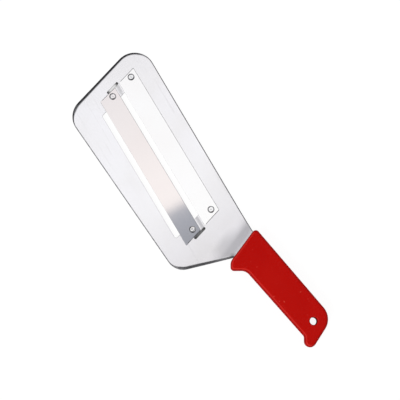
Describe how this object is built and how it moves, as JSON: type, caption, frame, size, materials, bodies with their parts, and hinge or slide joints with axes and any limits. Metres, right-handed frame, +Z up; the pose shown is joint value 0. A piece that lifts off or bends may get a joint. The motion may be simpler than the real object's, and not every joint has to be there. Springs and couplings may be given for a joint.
{
  "type": "cabbage cutter",
  "caption": "Long flat steel cutter with slanted fixed shredding blades over open gaps in its plate, and a red moulded grip with a finger guard and a hanging hole.",
  "frame": {"origin": "middle of the footprint, on the table that the cutter lies on, back down", "axes": "+X along the blades towards the plate's tip, +Y the way the cutter is pushed, +Z up from the table, out of the side that the blades are on"},
  "size_m": [0.307, 0.1048, 0.014],
  "materials": {
    "plate_steel": "satin, rolled",
    "blade_steel": "polished",
    "rivet_steel": "bright",
    "handle_plastic": "semi-gloss moulded"
  },
  "bodies": {
    "root": {"plate": "plate_steel", "rear_blade": "blade_steel", "front_blade": "blade_steel", "rear_blade_rivet_heel": "rivet_steel", "rear_blade_rivet_tip": "rivet_steel", "front_blade_rivet_heel": "rivet_steel", "front_blade_rivet_tip": "rivet_steel", "handle": "handle_plastic"}
  },
  "joints": []
}
